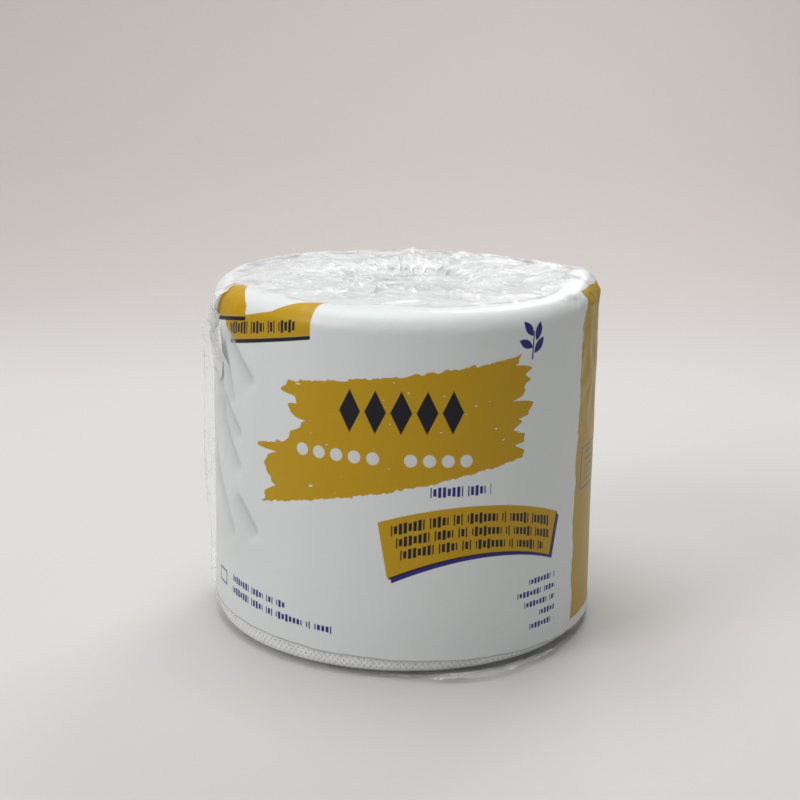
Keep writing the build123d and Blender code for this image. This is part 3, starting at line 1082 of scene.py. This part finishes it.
# %% Build a film material and dress the wrapper
def film_material(name, look, with_print=False, over_mouth=False):
    """Film that is clear, milky where it is crumpled, and opaque where it is printed."""
    material, tree, shader = new_material(name)
    place = object_place(tree)
    if over_mouth:
        place = scaled(tree, place, (0.45, 1.4, 1))
    crinkle = use_group(tree, crinkle_group, {"Place": place, "Size": look.fold_size})
    haze, lines = crinkle.outputs["Haze"], crinkle.outputs["Lines"]
    relief = crinkle.outputs["Height"]
    alpha = calc(tree, "MULTIPLY_ADD", haze, look.milky - look.clear, look.clear)
    alpha = calc(tree, "MULTIPLY_ADD", lines, 0.15, alpha)
    tone = look.line_tone
    if over_mouth:
        # Over the mouth of the tuck the film is a little more opaque, where it lies in layers. Its
        # fold lines there are much darker than elsewhere: painted shade from the dark core hole
        # below.
        middle = mouth_layers_and_shade(tree)
        alpha = calc(tree, "MULTIPLY_ADD", middle, 0.10, alpha)
        tone = calc(tree, "MULTIPLY_ADD", middle, 0.6, 0.25)
    # The fold lines are darkened towards grey: painted shade in the creases.
    crease_shade_share = calc(tree, "MULTIPLY", lines, tone)
    skin = {
        "Base Color": blend_colours(tree, crease_shade_share, FILM_CLEAR, FILM_PAINTED_SHADE),
        "Alpha": alpha,
        "Metallic": calc(tree, "MULTIPLY_ADD", haze, -0.8 * look.mirror, look.mirror),
        "Roughness": calc(tree, "MULTIPLY_ADD", haze, 0.15, 0.12),
    }
    if with_print:
        skin, less = add_print(tree, skin)
        relief = both(tree, relief, less)
    for socket, value in skin.items():
        tree.links.new(value, shader.inputs[socket])
    dent(tree, shader, relief, look.dent_depth)
    shader.inputs["Specular IOR Level"].default_value = 0.3
    return material


printed_look = FilmLook(0.45, 0.80, 0.06, 6.5, 0.3, 0.5)
printed_film = film_material("printed_film", printed_look, with_print=True)
dress(wrapper, printed_film, "wrapping_film", "film_wrap")

# %% [markdown]
# Loose plies on the top
# Gathered film lies over itself in several layers. One layer would look like
# cast glass, and all of them would be slow. So one more sheet of clear film
# follows the folds a little above them and crosses the mouth of the tuck,
# where its folds run from side to side. Light glints from both layers.

# %% Crumple the loose plies
PLIES_REACH = 46.5
PLIES_SAG = 2.8
PLIES_THICKNESS = 0.05


def crumpled_plies():
    """A round sheet over the top, which sags over the mouth and lies flat at its rim."""
    plies, share_round, share_out = grid_piece("loose_plies", 440, 70)
    angle = (share_round - 0.5) * 2 * pi
    radius = PLIES_REACH * share_out
    torn = waves(round_the_pack(angle, share_out, folds=30, length=1), 21)
    radius += 2.5 * torn * ease(share_out, 0.9, 1)
    flat = ring_points(angle, radius, radius * 0)
    at_front = np.exp(-2.5 * angle**2) * ease(radius, 22, 34)
    over_mouth = ease(radius, 24, 16)
    cross = np.column_stack([flat[:, 0] / 13, (flat[:, 1] + 0.12 * flat[:, 0]) / 3.0, flat[:, 2]])
    lift = end_folds(flat * 1.02) * (1 - over_mouth)
    lift = lift + creases(flat / 7.5, 25) * (1 - 0.6 * over_mouth) * 0.75
    lift += creases(cross, 24) * over_mouth * 1.2 + creases(flat / 2.6, 26) * 0.15
    rim = ease(share_out, 1.0, 0.9)
    flat[:, 2] = FILM_TOP + 0.12 + rim * (0.4 + lift) * (1 - at_front) - PLIES_SAG * over_mouth
    flat[:, 2] += rim_lift(angle, radius, FILM_TOP + 0 * radius)
    move_points(plies, flat)
    close_piece(plies)
    thicken(plies, PLIES_THICKNESS)
    return plies


ply_film = film_material("ply_film", FilmLook(0.16, 0.42, 0.06, 5.0, 0.3, 0.5), over_mouth=True)
dress(crumpled_plies(), ply_film, "wrapping_film")

# %% [markdown]
# The long seal
# The sleeve is closed by a fin of clear film down the left side. It leans
# back, its edge waves a little, and at the top the gather pulls it round to
# the front and crushes it into a bunch. A flat strip would look like tape, so
# the fin is a grid with long creases, and its outer edge is folded back.

# %% Shape the long seal
SEAL_LOW = 4.0
SEAL_HIGH = 93.0
SEAL_WIDTH = 8.2
SEAL_FOLD = 0.88
SEAL_HEIGHTS = [4, 8, 15, 34, 46, 70, 84, 93]
SEAL_SHARES = [0.45, 0.5, 0.65, 1, 1, 0.78, 0.65, 0.5]


def shaped_seal():
    """A fin from the foot to the gather, wider in the lower half."""
    seal, share_out, share_up = grid_piece("long_seal", 22, 260)
    height = SEAL_LOW + (SEAL_HIGH - SEAL_LOW) * share_up
    width = SEAL_WIDTH * np.interp(height, SEAL_HEIGHTS, SEAL_SHARES)
    width = width * (1 + 0.05 * waves(one_way(height / 6), 31))
    lean = np.radians(50 + 8 * waves(one_way(height / 19), 32))
    angle = np.radians(-91 + 25 * ease(height, 74, 94) ** 2 + 4 * ease(height, 16, 4))
    folded_back = 1 - (share_out - SEAL_FOLD) * 0.9
    out = np.where(share_out < SEAL_FOLD, share_out / SEAL_FOLD, folded_back) * width
    radial = np.column_stack([np.sin(angle), -np.cos(angle)])
    sideways = np.column_stack([-np.cos(angle), -np.sin(angle)])
    spot = np.column_stack([out, height, out * 0])
    wrinkles = creases(spot / (3.4, 16.0, 1), 33) * 0.8 + creases(spot / (2.2, 8.0, 1), 34) * 0.15
    push = share_out * (wrinkles - 0.4)
    push += 0.25 * ease(share_out, SEAL_FOLD, 0.93)
    place = radial * (FILM_RADIUS + 0.1 + out * np.cos(lean))[:, None]
    place += sideways * (out * np.sin(lean) + push)[:, None]
    move_points(seal, np.column_stack([place, height]))
    thicken(seal, 0.09)
    return seal


seal_film = film_material("seal_film", FilmLook(0.12, 0.36, 0.12, 9.0, 0.3, 0.32))
dress(shaped_seal(), seal_film, "wrapping_film")

# %% Crush the seal's top end into a bunch
NECK_ARC = -65.0
NECK_HEIGHT = 92.5


def crushed_bunch():
    """A fan of folds round the neck, which follows the side and the shoulder."""
    bunch, share_round, share_out = grid_piece("seal_bunch", 120, 50)
    turned = np.radians(-28 + 200 * share_round)
    length = 14 + 5 * waves(one_way(turned * 5), 43)
    length = length * (1 - 0.5 * ease(np.degrees(turned), 60, 110)) + 2
    out = 0.6 + share_out * length
    arc = NECK_ARC - out * np.sin(turned)
    height = NECK_HEIGHT - out * np.cos(turned)
    folds = creases(np.column_stack([turned * 4.5, out / 30, 0 * out]), 41)
    folds += 0.4 * creases(np.column_stack([turned * 10, out / 12, 0 * out]), 42)
    lift = 0.15 + ease(share_out, 0, 0.25) * ease(share_out, 1, 0.5) * (0.3 + 1.0 * folds)
    bend = np.clip((height - SIDE_TOP) / SHOULDER, 0, pi / 2)
    radius = RIM_RADIUS + SHOULDER * np.cos(bend) + (0.5 + lift) * np.cos(bend)
    on_bend = SIDE_TOP + SHOULDER * np.sin(bend) + lift * np.sin(bend)
    height = np.where(height > SIDE_TOP, on_bend, height)
    angle = arc / FILM_RADIUS
    height += rim_lift(angle, radius, height)
    move_points(bunch, ring_points(angle, radius, height))
    thicken(bunch, 0.06)
    return bunch


bunch_film = film_material("bunch_film", FilmLook(0.20, 0.62, 0.10, 6.0, 0.3, 0.2))
dress(crushed_bunch(), bunch_film, "wrapping_film")

# %% [markdown]
# The fold at the foot
# Under the front a bit of loose film lies on the table and shows as a clear
# lip with a bright edge. It is a flat ring piece whose outer edge follows a
# few measured reaches, with low creases that let it catch the light.

# %% Lay the loose fold
LIP_START, LIP_TURN = -22, 92
LIP_INNER = 51
LIP_ANGLES = [-22, -4, 0, 6, 12, 20, 28, 34, 45, 62, 70]
LIP_REACHES = [54, 56.6, 58, 59.4, 61.2, 61.8, 62, 60.4, 59, 57, 54]


def loose_lip():
    """A lip of film on the table, from the left of the front to the right side."""
    lip, share_round, share_out = grid_piece("foot_fold", 240, 28)
    degrees = LIP_START + LIP_TURN * share_round
    outer = np.interp(degrees, LIP_ANGLES, LIP_REACHES)
    angle = np.radians(degrees)
    radius = LIP_INNER + (outer - LIP_INNER) * share_out
    spot = np.column_stack([angle * 56, radius, radius * 0])
    lift = 1.4 * creases(spot / (9, 3.5, 1), 51) + 0.4 * creases(spot / 3, 52)
    lift = ease(radius, 54, 59) * lift
    move_points(lip, ring_points(angle, radius, 0.25 + lift))
    thicken(lip, 0.06)
    return lip


clear_film = film_material("clear_film", FilmLook(0.14, 0.34, 0.30, 7.0, 0.4, 0.5))
dress(loose_lip(), clear_film, "wrapping_film")

# %% [markdown]
# The tissue roll
# The strip is wound round the core about 145 times. A real winding would take
# a sheet of a million faces that the film hides, so the roll is a rolled grid,
# and on its ends the edges of the strip are pressed in as fine rings, a little
# uneven. The sheet is embossed with rows of small dots, which show where the
# film is clear, near the foot.

# %% Draw the roll's section and roll the grid
ROLL_STEPS = 480
ROLL_SHOULDER = 5.5
ROLL_FOOT_ROUND = 3
RING_PITCH = 1.1


def roll_section():
    """Radius, height and length of each row, from the core round to the core again."""
    head_bends, foot_bends = np.linspace(pi / 2, 0, 9), np.linspace(0, -pi / 2, 9)
    head_middle, foot_middle = ROLL_RADIUS - ROLL_SHOULDER, ROLL_RADIUS - ROLL_FOOT_ROUND
    side_top, side_foot = ROLL_HEAD - ROLL_SHOULDER, ROLL_FOOT + ROLL_FOOT_ROUND
    rows = [(CORE_RADIUS, ROLL_FOOT + 1), (CORE_RADIUS, ROLL_HEAD - 1)]
    rows += [(radius, ROLL_HEAD) for radius in np.arange(CORE_RADIUS, head_middle, 0.5)]
    rows += quarter(head_middle, side_top, ROLL_SHOULDER, head_bends)
    rows += [(ROLL_RADIUS, height) for height in np.linspace(side_top, side_foot, 24)[1:-1]]
    rows += quarter(foot_middle, side_foot, ROLL_FOOT_ROUND, foot_bends)
    rows += [(radius, ROLL_FOOT) for radius in np.arange(foot_middle, CORE_RADIUS, -0.9)[1:]]
    rows.append((CORE_RADIUS, ROLL_FOOT + 1))
    return [(radius, height, height) for radius, height in rows]


def wound_roll():
    """The roll, with the rings of its turns pressed into both ends."""
    turns, angle, radius, height = rolled_piece("tissue_turns", ROLL_STEPS, roll_section())
    points = ring_points(angle, radius, height)
    wound = radius + angle / (2 * pi) * RING_PITCH
    ring = np.sin(2 * pi * wound / RING_PITCH) + 0.6 * np.sin(2 * pi * radius / 2.9 + 1.0)
    off_core = ease(radius, CORE_RADIUS, CORE_RADIUS + 1)
    on_head, on_foot = height > ROLL_HEAD - 0.01, height < ROLL_FOOT + 0.01
    on_ends = (on_head * 1.0 - on_foot) * off_core
    points[:, 2] -= on_ends * (0.14 * (ring + 1.6) + 0.12 * (1 + waves(points / 9, 61)))
    move_points(turns, points)
    close_piece(turns)
    return turns


turns = wound_roll()
print("rolled tissue:", len(turns.data.vertices), "points")

# %% Build the tissue material
DOTS_ROUND = 210
DOT_ROWS = 2.1
PAINTED_DOT_SHADE = 0.28


def tissue_paper():
    """Soft white paper with fibres, rows of pressed dots, and shade painted into the dots."""
    material, tree, shader = new_material("tissue_paper")
    place = object_place(tree)
    split = add_node(tree, "ShaderNodeSeparateXYZ", {0: place})
    forward = calc(tree, "MULTIPLY", split.outputs["Y"], -1.0)
    turn = calc(tree, "ARCTAN2", split.outputs["X"], forward)
    column = calc(tree, "MULTIPLY", turn, DOTS_ROUND)
    row = calc(tree, "MULTIPLY", split.outputs["Z"], 2 * pi / DOT_ROWS)
    grid = calc(tree, "MULTIPLY", calc(tree, "SINE", column), calc(tree, "SINE", row))
    dots = steps(tree, grid, 0.20, 0.80)
    fibre = grain(tree, place, 2.2, 5.0)
    relief = calc(tree, "MULTIPLY_ADD", fibre, 0.35, calc(tree, "MULTIPLY", dots, -1.0))
    dent(tree, shader, relief, depth=0.35)
    tint = blend_colours(tree, fibre, (0.84, 0.84, 0.83, 1.0), (0.90, 0.90, 0.89, 1.0))
    # The dots are also darkened towards grey: painted shade in the pressed dents.
    shade = calc(tree, "MULTIPLY", dots, PAINTED_DOT_SHADE)
    tint = blend_colours(tree, shade, tint, (0.50, 0.51, 0.51, 1.0))
    tree.links.new(tint, shader.inputs["Base Color"])
    shader.inputs["Roughness"].default_value = 0.95
    shader.inputs["Sheen Weight"].default_value = 0.2
    return material


dress(turns, tissue_paper(), "tissue", "tissue_roll")

# %% [markdown]
# The card core
# The core is wound from strips of grey board. It lies inside, where only a
# hint of it shows, so a new mesh would be wasted. It keeps its plain solid and
# only gets a card surface with faint fibres.


# %% Build the card material
def core_card():
    """Matt grey board with fibres that run along the tube."""
    material, tree, shader = new_material("core_card")
    fibre = grain(tree, scaled(tree, object_place(tree), (1, 1, 0.35)), 1.6, 6.0)
    tint = blend_colours(tree, fibre, (0.34, 0.29, 0.23, 1.0), (0.52, 0.45, 0.36, 1.0))
    tree.links.new(tint, shader.inputs["Base Color"])
    dent(tree, shader, fibre, depth=0.1, strength=0.5)
    shader.inputs["Roughness"].default_value = 0.9
    return material


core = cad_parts["core_tube"]
core.data.materials.clear()
core.data.materials.append(core_card())
print("card on", core.name)
